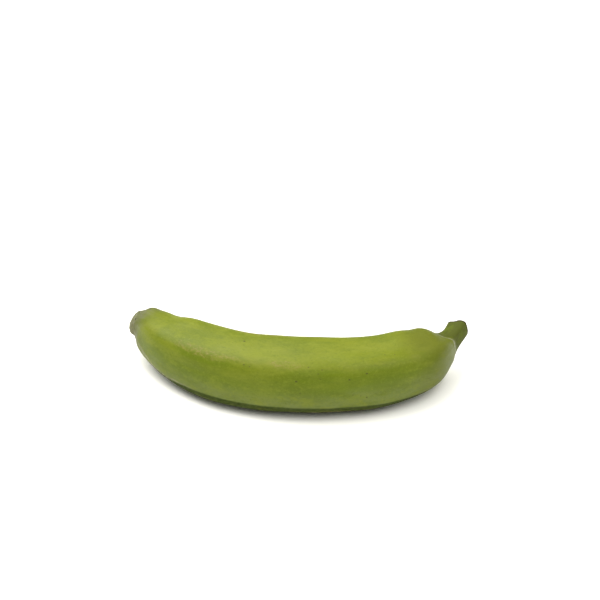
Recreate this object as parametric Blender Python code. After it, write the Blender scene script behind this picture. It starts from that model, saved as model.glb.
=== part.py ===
"""One whole green cooking banana, a plantain type, lying on its belly.

Metres, +Z up. The fruit lies along X with its blossom end at -X and its cut stem at +X. The outer, bulging
side of the bow faces -Y, and both ends curve round towards +Y. The origin is the middle of the fruit's
footprint, on the surface that it rests on.

The form is a row of closed rings strung on a curved middle line. Each ring is a rounded pentagon, because a
banana has five flat sides that meet in soft ridges running from one end to the other.
"""
import math

import bmesh
import bpy
import numpy as np

MM = 0.001

# The middle line: its length, and where it heads at each distance from the blossom end
FRUIT_LENGTH = 229 * MM
# distance along the middle line in mm, heading in degrees turned from +X towards +Y
HEADING = [
    (0, -15), (8, -35), (22, -42), (45, -36), (84, -18), (122, -1),
    (150, 9), (172, 21), (188, 34), (200, 46), (210, 52), (229, 66),
]
# distance along the middle line in mm, climb in degrees
CLIMB = [(0, 1), (12, -5), (32, -4), (60, 0), (120, 0), (190, 0), (206, 2), (229, 8)]

# The section: distance along the middle line in mm, mean half thickness in mm
GIRTH = [
    (0, 7.3), (3, 8.8), (7, 10.4), (12, 12.6), (18, 14.6), (26, 16.5), (38, 18.3), (55, 19.7), (80, 20.5),
    (118, 20.8), (148, 20.4), (168, 19.2), (184, 17.4), (194, 14.6), (201, 11.6), (208, 8.8), (214, 7.0), (229, 6.6),
]
# distance along the middle line in mm, how sharp the ridges are (2 is round, 20 is a crisp pentagon)
RIDGE_SHARPNESS = [(0, 3.4), (20, 5.0), (60, 6.4), (120, 6.8), (180, 6.8), (208, 7.6), (229, 6.0)]
# the five flat sides: the way each one faces, in degrees from the outer side of the bow up over the top,
# and how far it lies from the middle line as a share of the girth. The outer side is given as the first two,
# which makes it gently crowned.
SIDES = [(-6, 1.12), (27, 1.11), (84, 0.92), (150, 0.98), (215, 0.98), (280, 0.91)]

# Gentle swellings and shallow hollows that make the fruit uneven: distance along in mm, place around in
# degrees, height in mm, reach along in mm, reach around in degrees
SWELLINGS = [
    (7, 118, 1.8, 3.6, 30),
    (8, 325, 1.5, 6, 34),
    (24, 118, -1.6, 9, 45),
    (60, 62, -0.3, 30, 18),
    (64, 22, -0.6, 30, 18),
    (64, 312, 1.5, 34, 26),
    (165, 268, 0.6, 28, 40),
    (178, 104, 2.2, 17, 42),
    (184, 312, -1.2, 17, 28),
    (198, 108, 3.3, 8, 40),
    (205, 20, 0.8, 7, 40),
]

# The blossom end is a dome, whose point sits low and to the outer side. Its pointedness is 1 for a round
# dome and 2 for a straight cone.
DOME_DEPTH = 4.7 * MM
DOME_DROP = 2.5 * MM
DOME_RINGS = 5
DOME_POINTEDNESS = 1.3

# The stem's cut face swells slightly in the middle and has a soft edge: depth in mm, share of the girth
CUT_FACE = [(0.35, 0.97), (0.60, 0.88), (0.72, 0.50)]
CUT_FACE_RISE = 0.80 * MM

# How the fruit lies: rolled back a little onto its belly, in degrees, and how deep the belly is pressed flat
ROLL = -0.6
BELLY_FLAT = 0.35 * MM

# The mesh: rings along the fruit, points around it, and how much closer the rings stand near the ends
RINGS = 60
POINTS_AROUND = 52
END_CROWDING = 0.55
MIDDLE_LINE_STEPS = 2000

PEEL_COLOUR = (0.24, 0.31, 0.065, 1.0)
PEEL_ROUGHNESS = 0.48
PEEL_METALLIC = 0.0


def smooth_curve(knots):
    """Return value(distance) for the natural cubic spline through the knots, in the knots' own units."""
    at, to = np.array(knots, float).T
    count = len(at)
    gap = np.diff(at)
    rows = np.eye(count)
    right = np.zeros(count)
    for i in range(1, count - 1):
        rows[i, i - 1:i + 2] = gap[i - 1], 2 * (gap[i - 1] + gap[i]), gap[i]
        right[i] = 6 * ((to[i + 1] - to[i]) / gap[i] - (to[i] - to[i - 1]) / gap[i - 1])
    bend = np.linalg.solve(rows, right)

    def value(distance):
        i = np.clip(np.searchsorted(at, distance, side="right") - 1, 0, count - 2)
        before = (at[i + 1] - distance) / gap[i]
        after = (distance - at[i]) / gap[i]
        curved = (before ** 3 - before) * bend[i] + (after ** 3 - after) * bend[i + 1]
        return before * to[i] + after * to[i + 1] + curved * gap[i] ** 2 / 6

    return value


def ring_distances():
    """Return how far along the middle line each ring stands, closer together towards both ends."""
    share = np.linspace(0, 1, RINGS)
    full_turn = 2 * math.pi
    return FRUIT_LENGTH * (share - END_CROWDING * np.sin(full_turn * share) / full_turn)


def middle_line(along):
    """Return the middle line's points and its forward, outward and upward directions at these distances."""
    fine = np.linspace(0, FRUIT_LENGTH, MIDDLE_LINE_STEPS + 1)
    heading = np.radians(smooth_curve(HEADING)(fine / MM))
    climb = np.radians(smooth_curve(CLIMB)(fine / MM))
    flat = np.cos(climb)
    forward = np.stack([flat * np.cos(heading), flat * np.sin(heading), np.sin(climb)], axis=1)
    step = fine[1] - fine[0]
    walked = np.cumsum((forward[1:] + forward[:-1]) / 2 * step, axis=0)
    line = np.vstack([np.zeros(3), walked])
    points = np.stack([np.interp(along, fine, line[:, k]) for k in range(3)], axis=1)
    ahead = np.stack([np.interp(along, fine, forward[:, k]) for k in range(3)], axis=1)
    ahead /= np.linalg.norm(ahead, axis=1, keepdims=True)
    outward = np.cross(ahead, (0, 0, 1))
    outward /= np.linalg.norm(outward, axis=1, keepdims=True)
    upward = np.cross(outward, ahead)
    return points, ahead, outward, upward


def half_thickness(along, around):
    """Return the distance from the middle line to the peel, for every pair of along and around."""
    girth = smooth_curve(GIRTH)(along / MM)[:, None]
    sharpness = smooth_curve(RIDGE_SHARPNESS)(along / MM)[:, None]
    total = 0
    for facing, share in SIDES:
        towards = np.maximum(np.cos(around - math.radians(facing)), 0)[None, :]
        total = total + (towards / share) ** sharpness
    radius = girth * total ** (-1 / sharpness)
    for distance, place, height, reach_along, reach_around in SWELLINGS:
        off_along = (along / MM - distance)[:, None] / reach_along
        turn = around - math.radians(place)
        off_around = np.arctan2(np.sin(turn), np.cos(turn))[None, :] / math.radians(reach_around)
        radius = radius + height * np.exp(-off_along ** 2 - off_around ** 2)
    return radius * MM


def ring_points(centre, outward, upward, radius, around):
    """Return one ring's points round its centre."""
    across = np.cos(around)[:, None] * outward + np.sin(around)[:, None] * upward
    return centre + radius[:, None] * across


def blossom_dome(centre, ahead, outward, upward, radius, around):
    """Return the dome's rings, from the rim out to its point, and the point."""
    reach = (outward - upward) * DOME_DROP / math.sqrt(2) - ahead * DOME_DEPTH
    rings = []
    for k in range(1, DOME_RINGS + 1):
        turn = k / (DOME_RINGS + 1) * math.pi / 2
        shrink = math.cos(turn) ** DOME_POINTEDNESS
        depth = math.sin(turn) ** DOME_POINTEDNESS
        rings.append(ring_points(centre + reach * depth, outward, upward, radius * shrink, around))
    return rings, centre + reach


def stem_cut(centre, ahead, outward, upward, radius, around):
    """Return the cut face's rings, from its edge in to its middle, and the middle."""
    rings = []
    for rise, share in CUT_FACE:
        rings.append(ring_points(centre + ahead * rise * MM, outward, upward, radius * share, around))
    return rings, centre + ahead * CUT_FACE_RISE


def all_rings():
    """Return the fruit's rings in order, from inside the blossom end's dome to the stem's cut face,
    with the point that closes each end."""
    along = ring_distances()
    around = np.linspace(0, 2 * math.pi, POINTS_AROUND, endpoint=False)
    points, ahead, outward, upward = middle_line(along)
    radius = half_thickness(along, around)
    body = [ring_points(points[i], outward[i], upward[i], radius[i], around) for i in range(RINGS)]
    dome, blossom_point = blossom_dome(points[0], ahead[0], outward[0], upward[0], radius[0], around)
    cut, stem_point = stem_cut(points[-1], ahead[-1], outward[-1], upward[-1], radius[-1], around)
    return dome[::-1] + body + cut, blossom_point, stem_point


def lie_down(points):
    """Roll the fruit as it lies, press its belly flat and bring its footprint over the origin."""
    roll = math.radians(ROLL)
    turned = points.copy()
    turned[:, 1] = points[:, 1] * math.cos(roll) - points[:, 2] * math.sin(roll)
    turned[:, 2] = points[:, 1] * math.sin(roll) + points[:, 2] * math.cos(roll)
    surface = turned[:, 2].min() + BELLY_FLAT
    turned[:, 2] = np.maximum(turned[:, 2], surface)
    low = turned.min(axis=0)
    high = turned.max(axis=0)
    return turned - np.array([(low[0] + high[0]) / 2, (low[1] + high[1]) / 2, surface])


def peel_material():
    """Return the peel's plain material."""
    material = bpy.data.materials.new("peel")
    material.use_nodes = True
    shader = material.node_tree.nodes["Principled BSDF"]
    shader.inputs["Base Color"].default_value = PEEL_COLOUR
    shader.inputs["Roughness"].default_value = PEEL_ROUGHNESS
    shader.inputs["Metallic"].default_value = PEEL_METALLIC
    return material


def make_banana():
    """Make the fruit as one closed skin."""
    rings, blossom_point, stem_point = all_rings()
    points = lie_down(np.vstack(rings + [blossom_point, stem_point]))
    form = bmesh.new()
    corners = [form.verts.new(point) for point in points]
    last = len(rings) - 1
    for i in range(last):
        for j in range(POINTS_AROUND):
            beside = (j + 1) % POINTS_AROUND
            here = i * POINTS_AROUND
            there = here + POINTS_AROUND
            form.faces.new([corners[here + j], corners[here + beside], corners[there + beside], corners[there + j]])
    for j in range(POINTS_AROUND):
        beside = (j + 1) % POINTS_AROUND
        form.faces.new([corners[-2], corners[beside], corners[j]])
        there = last * POINTS_AROUND
        form.faces.new([corners[-1], corners[there + j], corners[there + beside]])
    bmesh.ops.recalc_face_normals(form, faces=form.faces)
    bmesh.ops.triangulate(form, faces=form.faces)
    mesh = bpy.data.meshes.new("banana")
    form.to_mesh(mesh)
    form.free()
    mesh.shade_smooth()
    mesh.materials.append(peel_material())
    banana = bpy.data.objects.new("banana", mesh)
    bpy.context.scene.collection.objects.link(banana)
    return banana


def main():
    for thing in list(bpy.data.objects):
        bpy.data.objects.remove(thing, do_unlink=True)
    make_banana()


main()
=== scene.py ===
"""The looks of one whole green cooking banana lying on its belly, in metres.

The fruit is one closed skin with three finishes: the waxy green peel, the corky blossom end and the dried
cut of the stem. Its form comes from a curved middle line and a rounded five-sided section, and its fine
relief, paint and marks are placed by distance along the fruit and by angle round it.
"""
import math
from typing import NamedTuple

import bmesh
import bpy
import numpy as np
from bpy.props import FloatProperty, FloatVectorProperty, IntProperty, PointerProperty
from bpy.types import Operator, Panel, PropertyGroup
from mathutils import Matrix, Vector


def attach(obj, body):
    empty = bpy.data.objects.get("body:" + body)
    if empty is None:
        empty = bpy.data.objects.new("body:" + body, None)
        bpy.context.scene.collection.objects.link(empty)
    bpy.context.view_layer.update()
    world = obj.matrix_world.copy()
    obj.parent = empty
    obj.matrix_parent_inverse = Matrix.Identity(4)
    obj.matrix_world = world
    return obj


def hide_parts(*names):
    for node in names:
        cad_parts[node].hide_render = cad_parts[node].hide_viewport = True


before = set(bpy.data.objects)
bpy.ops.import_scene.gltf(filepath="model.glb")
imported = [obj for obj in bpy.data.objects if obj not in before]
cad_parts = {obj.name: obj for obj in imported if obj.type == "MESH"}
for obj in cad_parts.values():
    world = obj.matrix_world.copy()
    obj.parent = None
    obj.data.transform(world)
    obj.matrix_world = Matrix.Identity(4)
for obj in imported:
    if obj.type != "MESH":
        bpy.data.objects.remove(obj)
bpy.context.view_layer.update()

bl_info = {
    "name": "Green cooking banana",
    "version": (1, 0, 0),
    "blender": (4, 5, 0),
    "location": "View3D > Sidebar > Banana",
    "description": "Builds the fruit's fine skin with its finishes, and a plain studio round it",
    "category": "Object",
}

MM = 0.001
FULL_TURN = 2 * math.pi

# The middle line, with distances along it in mm from the blossom end's rim and angles in degrees
FRUIT_LENGTH = 229 * MM
HEADING = [
    (0, -15), (8, -35), (22, -42), (45, -36), (84, -18), (122, -1),
    (150, 9), (172, 21), (188, 34), (200, 46), (210, 52), (229, 66),
]
CLIMB = [(0, 1), (12, -5), (32, -4), (60, 0), (120, 0), (190, 0), (206, 2), (229, 8)]
MIDDLE_LINE_STEPS = 2000

# The section: mean half thickness in mm, how sharp the ridges are, and the flat sides, each with the way it
# faces in degrees from the bow's outer side up over the top, and its distance as a share of the girth
GIRTH = [
    (0, 7.3), (3, 8.8), (7, 10.4), (12, 12.6), (18, 14.6), (26, 16.5), (38, 18.3), (55, 19.7), (80, 20.5),
    (118, 20.8), (148, 20.4), (168, 19.2), (184, 17.4), (194, 14.6), (201, 11.6), (208, 8.8), (214, 7.0),
    (229, 6.6),
]
RIDGE_SHARPNESS = [(0, 3.4), (20, 5.0), (60, 6.4), (120, 6.8), (180, 6.8), (208, 7.6), (229, 6.0)]
SIDES = [(-6, 1.12), (27, 1.11), (84, 0.92), (150, 0.98), (215, 0.98), (280, 0.91)]

# Swellings: distance along in mm, place around in degrees, height in mm, reach along in mm, reach around
# in degrees
SWELLINGS = [
    (7, 118, 1.8, 3.6, 30),
    (8, 325, 1.5, 6, 34),
    (24, 118, -1.6, 9, 45),
    (60, 62, -0.3, 30, 18),
    (64, 22, -0.6, 30, 18),
    (64, 312, 1.5, 34, 26),
    (165, 268, 0.6, 28, 40),
    (178, 104, 2.2, 17, 42),
    (184, 312, -1.2, 17, 28),
    (198, 108, 3.3, 8, 40),
    (205, 20, 0.8, 7, 40),
]

# How the fruit lies: rolled back a little, in degrees, and how deep the belly is pressed flat
ROLL = -0.6
BELLY_FLAT = 0.35 * MM

# The plain form whose box gives the fruit's place: its rings, points around and crowding towards the ends
PLAIN_RINGS = 60
PLAIN_POINTS = 52
PLAIN_DOME_RINGS = 5
END_CROWDING = 0.55


class Waves(NamedTuple):
    """A seeded set of waves: how many, their seed, the shortest and longest along, and the most around."""
    number: int
    seed: int
    shortest: float
    longest: float
    most_around: int


# Where the soft ridges run, in degrees from the bow's outer side up over the top, and how wide their crests
# are
RIDGES = (46, 120, 182, 244, 325)
CREST_WIDTH = 7

# The peel's slow swells, which start a little way in from the blossom end and calm down on the stem, and the
# strands under it
SWELLS = Waves(14, 7, 28 * MM, 120 * MM, 4)
SWELLS_START = 14 * MM
STEM_CALM = 0.6
STRANDS = Waves(26, 3, 60 * MM, 240 * MM, 36)

# Dents, and swells as dents below zero: distance along in mm, place around in degrees, depth in mm, reach
# along in mm, reach around in degrees
DENTS = [
    (17, 322, -0.75, 8, 26),
    (1.5, 335, -0.7, 3, 38),
    (0.6, 88, -0.60, 1.6, 26),
    (3.4, 98, 0.30, 2.0, 26),
    (58, 12, 0.30, 9, 9),
    (96, 66, 0.22, 14, 10),
    (131, 18, 0.25, 8, 8),
    (151, 72, 0.30, 12, 11),
    (40, 80, 0.25, 8, 14),
    (176, 8, 0.35, 8, 10),
    (110, 180, 0.35, 16, 12),
    (66, 215, 0.30, 10, 14),
    (146, 150, 0.30, 12, 12),
    (88, 128, 0.25, 9, 10),
]

# The blossom end: puckers that gather towards it, the uneven rim, and a dome whose point sits low and to the
# outer side
PUCKERS_AROUND = 13
PUCKER_REACH = 8 * MM
PUCKER_WAVES = Waves(6, 5, 12 * MM, 40 * MM, 3)
RIM_REACH = 0.9 * MM
RIM_UNEVENNESS = 0.45
EDGE_WAVES = Waves(9, 11, 20 * MM, 60 * MM, 9)
DOME_DEPTH = 4.7 * MM
DOME_DROP = 2.5 * MM
DOME_POINTEDNESS = 1.3

# The dome's folds: how many, how far they wander, how many times and how much they twist towards the point,
# and their depth as a share of the puckers'
DOME_FOLDS = 11
FOLD_WANDER = 1.7
FOLD_WANDERS_AROUND = 3
FOLD_TWIST = 2
FOLD_SHARE = 0.6

# The dome's sunken scar with a nub in its middle and a bumpy ring round it. Depths are shares of the dome's
# depth, and distances out from the point are shares of its half thickness.
SCAR_DEPTH = 0.07
SCAR_REACH = 0.16
SCAR_NUB = 0.05
SCAR_RING = 0.03
SCAR_RING_AT = 0.34
SCAR_RING_WIDTH = 0.08
SCAR_RING_BUMPS = 5
SCAR_RING_BUMPINESS = 0.5
SCAR_RING_TURN = 1

# The stem's flattened sides, turned by an angle in radians, and where the shoulder blends into the stem
STEM_SIDES = 5
STEM_SIDES_TURN = 0.7
STEM_BLEND = (202 * MM, 216 * MM)

# Where the shoulder ends in a thin raised seam: place around in degrees, distance along in mm. The line is
# smoothed over the turns given in degrees. The seam rises slowly from the shoulder and drops fast to the
# stem. Its evenness is the share of its height that stays the same all round.
SEAM = [
    (-10, 207), (0, 209), (16, 210), (28, 211), (42, 212), (56, 210), (70, 207), (100, 201), (112, 200),
    (150, 203), (200, 207), (260, 206), (320, 206),
]
SEAM_SMOOTHING = (-15, -10, -6, -3, 0, 3, 6, 10, 15)
SEAM_SLOPE = 2.4 * MM
SEAM_EDGE = 0.45 * MM
SEAM_EVENNESS = 0.7
SEAM_WAVES = Waves(8, 11, 20 * MM, 60 * MM, 7)

# The stem's cut. How far it stands ahead of or behind a square cut: place around in degrees, distance in mm,
# reach in degrees. The peel starts to lean with it a little before the end.
CUT_CORNERS = [(44, 1.7, 32), (84, 1.1, 30), (122, -1.7, 34), (158, 0.9, 12), (265, 0.4, 18)]
LEAN_STARTS = 213 * MM

# The cut face: how far its middle swells and how flat it stays, how uneven its dried edge is and how narrow,
# and how its rings crowd towards the edge
CUT_FACE_RISE = 0.80 * MM
CUT_FACE_FLATNESS = 4
CUT_EDGE_UNEVENNESS = 0.35 * MM
CUT_EDGE_NARROWNESS = 6
CUT_RING_CROWDING = 0.8

# The fibres on the cut face, which fade at its edge and in its middle
FIBRE_HEIGHT = 0.14 * MM
FIBRE_SPREAD = 6 * MM
FIBRE_WAVES = Waves(16, 23, 1.2 * MM, 4 * MM, 15)
FIBRE_EDGE_NARROWNESS = 8
FIBRES_BLEND = (0.05, 0.45)

# The scuffed line low on the outer side near the blossom end: distance along in mm, place around in degrees
# Its pale colour is partly wear and partly a painted highlight where the edge catches light from the floor
SCUFF_GLINT_LINE = [
    (-3, 357), (10, 350), (17, 344), (24, 339), (31, 334), (38, 333), (45, 335), (58, 338), (80, 339),
]

# Dark specks: distance along in mm, place around in degrees, size in mm along and across
SPECKS = [
    (82, 88, 0.8, 0.6), (120, 44, 0.5, 0.4), (87, 40, 0.5, 0.4), (90, 38, 0.4, 0.4), (127, 40, 0.5, 0.4),
    (114, 22, 0.7, 0.5), (141, 24, 0.6, 0.5), (150, 32, 0.7, 0.5), (150, 352, 0.6, 0.5), (201, 340, 0.9, 0.7),
    (1.0, 50, 0.9, 0.8), (1.5, 92, 0.5, 1.0), (7, 104, 1.3, 0.6), (64, 150, 0.7, 0.5), (133, 200, 0.9, 0.6),
    (98, 226, 0.6, 0.5), (166, 170, 0.7, 0.6), (48, 250, 0.7, 0.5),
]
# Rubbed tan patches along the ridges: distance along in mm, place around in degrees, reach in mm along and
# across
RUBS = [
    (62, 45, 24, 3.4), (108, 46, 10, 2.8), (90, 120, 26, 3.5),
    (150, 182, 22, 4.0), (70, 244, 20, 4.0), (128, 325, 16, 2.5),
]
# Painted shade: clear darker green under the outer ridge and darker warm green along it; the frosted places
# carry the painted floor reflection of the waxy sides; all laid out like the rubs
LUSH_SHADE = [(128, 28, 22, 4.6), (152, 20, 24, 8.0), (62, 35, 22, 3.0)]
GOLDEN_SHADE = [(152, 50, 36, 8.5)]
FROSTED_SHEEN = [(182, 352, 16, 8.0), (162, 3, 24, 5.0), (60, 325, 18, 3.0)]
# A spot's edge: the share of its reach where its paint starts, and where it is full
SPOT_EDGE = (1.15, 0.6)

# The peel's noises: how each is stretched along and across the fruit, its scale in cells per metre, its
# detail and its roughness
PEEL_NOISES = {
    "clouds": ((0.40, 1, 1), 60, 3, 0.55),
    "deep_patches": ((0.42, 1, 1), 170, 4, 0.60),
    "pale_patches": ((0.55, 1, 1.1), 240, 4, 0.62),
    "streaks": ((0.07, 1, 1), 620, 3, 0.55),
    "freckles": ((0.85, 1, 1), 720, 4, 0.70),
    "grain": ((0.5, 1, 1), 1500, 4, 0.70),
    "ragged": ((1, 1, 1), 300, 4, 0.55),
    "wandering": ((1, 1, 1), 420, 4, 0.55),
    "fraying": ((1, 1, 1), 2600, 3, 0.55),
}
# The peel's scattered dots: how each kind is stretched, its scale, and the distances from a dot's middle
# between which it fades in
PEEL_DOTS = {
    "flecks": ((0.7, 1, 1), 820, 0.26, 0.12),
    "pores": ((0.8, 1.1, 1), 1050, 0.24, 0.10),
    "dots": ((0.8, 1, 1), 190, 0.085, 0.050),
}

# A ramp, here and below, is the two values between which a share changes, and the share at each, 0 and 1 if
# none is given. A blur is how far a noise shifts a ramp that goes by distance.

# The ground: yellower and lighter above, partly its own colour and partly painted light from above; paler
# below in a painted floor reflection on the waxy peel; the shade bands and frosted sheen frayed by a noise
SUNNY_LIT_RAMP = (6 * MM, 26 * MM)
SUNNY_LIT_BLUR = 16 * MM
WAXY_SHEEN_RAMP = (8 * MM, -2 * MM, 0, 0.76)
WAXY_SHEEN_BLUR = 10 * MM
FROSTED_SHEEN_SHARE = 0.75
GOLDEN_SHADE_SHARE = 0.95
LUSH_SHADE_SHARE = 0.70
SHADE_BAND_FRAYING = 0.8

# The mottling, in the order that it is laid on: the noise, its ramp and the colour. The deep patches are
# calmer on the lighter top, and the pale ones in the bands of painted shade.
CLOUDING = [("clouds", (0.55, 0.36, 0, 0.50), "deep"), ("clouds", (0.52, 0.68, 0, 0.30), "pale")]
DEEP_PATCHES_RAMP = (0.46, 0.68, 0, 0.60)
SUNNY_LIT_CALM = 0.45
PALE_PATCHES_RAMP = (0.48, 0.70, 0, 0.52)
SHADE_BAND_CALM = 0.55
FINE_MOTTLING = [
    ("streaks", (0.45, 0.75, 0, 0.14), "deep"),
    ("freckles", (0.52, 0.70, 0, 0.55), "pale"),
    ("freckles", (0.47, 0.32, 0, 0.60), "deep"),
    ("grain", (0.50, 0.78, 0, 0.50), "pale"),
    ("grain", (0.46, 0.24, 0, 0.52), "deep"),
]
FLECKS_RAMP = (0.42, 0.62)
FLECKS_SHARE = 0.55
PORES_RAMP = (0.40, 0.62)
PORES_SHARE = 0.45

# Painted shade on the underside, sharp on the outer side and soft elsewhere, and the dots over all
UNDERSIDE_SHADE_BLUR = 3 * MM
OUTER_SIDE_RAMP = (2 * MM, 10 * MM)
SHARP_UNDERSIDE_SHADE_RAMP = (-7.2 * MM, -8.6 * MM, 0, 0.94)
SOFT_UNDERSIDE_SHADE_RAMP = (-8.5 * MM, -15 * MM, 0, 0.50)
UNDERSIDE_SHADE_FRECKLES_RAMP = (0.36, 0.66, 1.0, 0.84)
DOTS_RAMP = (0.40, 0.56, 0, 0.60)

# The wear: the tan rubs, the tan on the ridges' crests, and the scuffed line with a painted highlight on it,
# which wanders about its middle and fades away from the blossom end
RUB_RAGGEDNESS = 1.2
RUB_WEAR_RAMP = (0.46, 0.62, 0.04, 0.49)
CREST_WEAR_RAMP = (0.44, 0.68, 0, 0.12)
SCUFF_GLINT_WANDER = 3 * MM
SCUFF_GLINT_RAMP = (1.5 * MM, 0.3 * MM)
SCUFF_GLINT_FRECKLES_RAMP = (0.34, 0.62, 0.15, 0.80)
SCUFF_GLINT_END_RAMP = (74 * MM, 48 * MM)
SCUFF_GLINT_END_BLUR = 20 * MM

# The ends: the brownish shoulder, the dull peel and greyish bloom by the blossom end, its rim, and the stem
SHOULDER_RAMP = (182 * MM, 206 * MM, 0, 0.58)
SHOULDER_BLUR = 30 * MM
DULL_TIP_RAMP = (44 * MM, 20 * MM, 0, 0.42)
TIP_RAMP = (26 * MM, 10 * MM)
TIP_BLUR = 20 * MM
BLOOM_RAMP = (0.34, 0.58, 0.55, 0.95)
TIP_FLECKS_RAMP = (0.56, 0.70, 0, 0.45)
RIM_LINE_RAMP = (1.9 * MM, 1.1 * MM)
RIM_LINE_BLUR = 1.6 * MM
RIM_FRECKLES_RAMP = (0.34, 0.64, 0.15, 0.62)
STEM_RAMP = (2.0 * MM, 7.2 * MM)
STEM_BLUR = 6 * MM
STEM_SHARE = 0.90
STEM_PATCHES_RAMP = (0.48, 0.66, 0, 0.35)
DRIED_RAMP = (228.2 * MM, 229.2 * MM)
DRIED_BLUR = 1.2 * MM

# The seam's light line, a pale seam with a painted highlight, whose middle lies just before the seam: patchy,
# lightest low on the outer side and faint behind
SEAM_GLINT_BEFORE = 0.1 * MM
SEAM_GLINT_RAMP = (1.2 * MM, 0.2 * MM)
SEAM_GLINT_FRECKLES_RAMP = (0.30, 0.70, 0.25, 1.0)
SEAM_GLINT_HEIGHT_RAMP = (9 * MM, 4 * MM, 0.62, 0.95)
SEAM_GLINT_OUTER_RAMP = (-6 * MM, 4 * MM, 0.18, 1.0)

# The specks' paint
SPECK_FRAYING = 0.9
SPECK_SHARE = 0.70

# The peel's gloss, which is duller at both ends, on specks and beneath, and its fine bumps: what makes each,
# its height and its strength
GRAIN_IN_GLOSS = 0.5
GLOSS_RAMP = (0.6, 0.95, 0.40, 0.54)
DULL_END_ROUGHNESS = 0.66
SPECK_ROUGHNESS = 0.75
UNDERSIDE_ROUGHNESS = 0.95
PEEL_BUMPS = [
    ("streaks", 0.16 * MM, 0.35),
    ("grain", 0.05 * MM, 0.45),
    ("freckles", 0.07 * MM, 0.40),
    ("flecks", -0.03 * MM, 0.5),
    ("specks", 0.10 * MM, 0.8),
]
PEEL_SPECULAR = 0.14

# The cork's noises, laid out like the peel's, and its mottling
CORK_NOISES = {
    "coarse": ((1, 1, 1), 380, 4, 0.65),
    "other": ((1, 1.1, 0.9), 560, 4, 0.65),
    "fine": ((1, 1, 1), 1900, 4, 0.70),
}
CORK_MOTTLING = [
    ("coarse", (0.38, 0.62), "bloom"),
    ("other", (0.48, 0.66, 0, 0.55), "shoulder"),
    ("other", (0.44, 0.30, 0, 0.45), "rim"),
    ("fine", (0.52, 0.80, 0, 0.40), "dried"),
]
# The cork's dark scar at the tip and its dark spot: place on the straightened fruit, and reach
CORK_MARKS = [
    ((-DOME_DEPTH, 0, 0), (1.6 * MM, 1.9 * MM, 1.9 * MM)),
    ((0.3 * MM, 4.9 * MM, 5.8 * MM), (1.0 * MM, 0.7 * MM, 0.7 * MM)),
]
CORK_MARK_FRAYING = 0.9
CORK_MARK_SHARE = 0.75
CORK_BUMPS = [("coarse", 0.30 * MM, 0.6), ("fine", 0.12 * MM, 0.7)]
CORK_GLOSS_RAMP = (0.3, 0.8, 0.62, 0.82)

# The cut's noises, its dark strand ends, its mottling and the dark edge, whose ramp goes by distance from
# the middle
CUT_NOISES = {"coarse": ((1, 1, 1), 500, 4, 0.60), "fine": ((1, 1, 1), 2200, 3, 0.65)}
STRAND_ENDS = ((0, 1, 1), 780, 0.28, 0.14)
STRAND_ENDS_SHARE = 0.55
CUT_TAN_RAMP = (0.3, 0.7, 0, 0.6)
CUT_FLECKS_RAMP = (0.50, 0.78, 0, 0.5)
CUT_EDGE_RAMP = (5.8 * MM, 7.0 * MM, 0, 0.9)
CUT_EDGE_BLUR = 2 * MM
CUT_BUMPS = [("coarse", 0.30 * MM, 0.7), ("strand_ends", 0.15 * MM, 0.6)]
CUT_ROUGHNESS = 0.82

FLOOR_ROUGHNESS = 0.85


def smooth_curve(knots):
    """Return value(distance) for the natural cubic spline through the knots, in the knots' own units."""
    at, to = np.array(knots, float).T
    count = len(at)
    gap = np.diff(at)
    rows = np.eye(count)
    right = np.zeros(count)
    for i in range(1, count - 1):
        rows[i, i - 1:i + 2] = gap[i - 1], 2 * (gap[i - 1] + gap[i]), gap[i]
        right[i] = 6 * ((to[i + 1] - to[i]) / gap[i] - (to[i] - to[i - 1]) / gap[i - 1])
    bend = np.linalg.solve(rows, right)

    def value(distance):
        i = np.clip(np.searchsorted(at, distance, side="right") - 1, 0, count - 2)
        before = (at[i + 1] - distance) / gap[i]
        after = (distance - at[i]) / gap[i]
        curved = (before ** 3 - before) * bend[i] + (after ** 3 - after) * bend[i + 1]
        return before * to[i] + after * to[i + 1] + curved * gap[i] ** 2 / 6

    return value


def ring_distances(rings):
    """Return how far along the middle line each ring stands, closer together towards both ends."""
    share = np.linspace(0, 1, rings)
    return FRUIT_LENGTH * (share - END_CROWDING * np.sin(FULL_TURN * share) / FULL_TURN)


def middle_line(along):
    """Return the middle line's points and its forward, outward and upward directions at these distances."""
    fine = np.linspace(0, FRUIT_LENGTH, MIDDLE_LINE_STEPS + 1)
    heading = np.radians(smooth_curve(HEADING)(fine / MM))
    climb = np.radians(smooth_curve(CLIMB)(fine / MM))
    flat = np.cos(climb)
    forward = np.stack([flat * np.cos(heading), flat * np.sin(heading), np.sin(climb)], axis=1)
    walked = np.cumsum((forward[1:] + forward[:-1]) / 2 * (fine[1] - fine[0]), axis=0)
    line = np.vstack([np.zeros(3), walked])
    points = np.stack([np.interp(along, fine, line[:, k]) for k in range(3)], axis=1)
    ahead = np.stack([np.interp(along, fine, forward[:, k]) for k in range(3)], axis=1)
    ahead /= np.linalg.norm(ahead, axis=1, keepdims=True)
    outward = np.cross(ahead, (0, 0, 1))
    outward /= np.linalg.norm(outward, axis=1, keepdims=True)
    return points, ahead, outward, np.cross(outward, ahead)


def turned_from(around, place):
    """Return the signed angle in radians from a place given in degrees."""
    turn = around - math.radians(place)
    return np.arctan2(np.sin(turn), np.cos(turn))


def patch(along, around, distance, place, reach_along, reach_around):
    """Return a soft round patch, 1 at its middle, in mm along and degrees around."""
    off_along = (along / MM - distance) / reach_along
    off_around = turned_from(around, place) / math.radians(reach_around)
    return np.exp(-off_along ** 2 - off_around ** 2)


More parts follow.
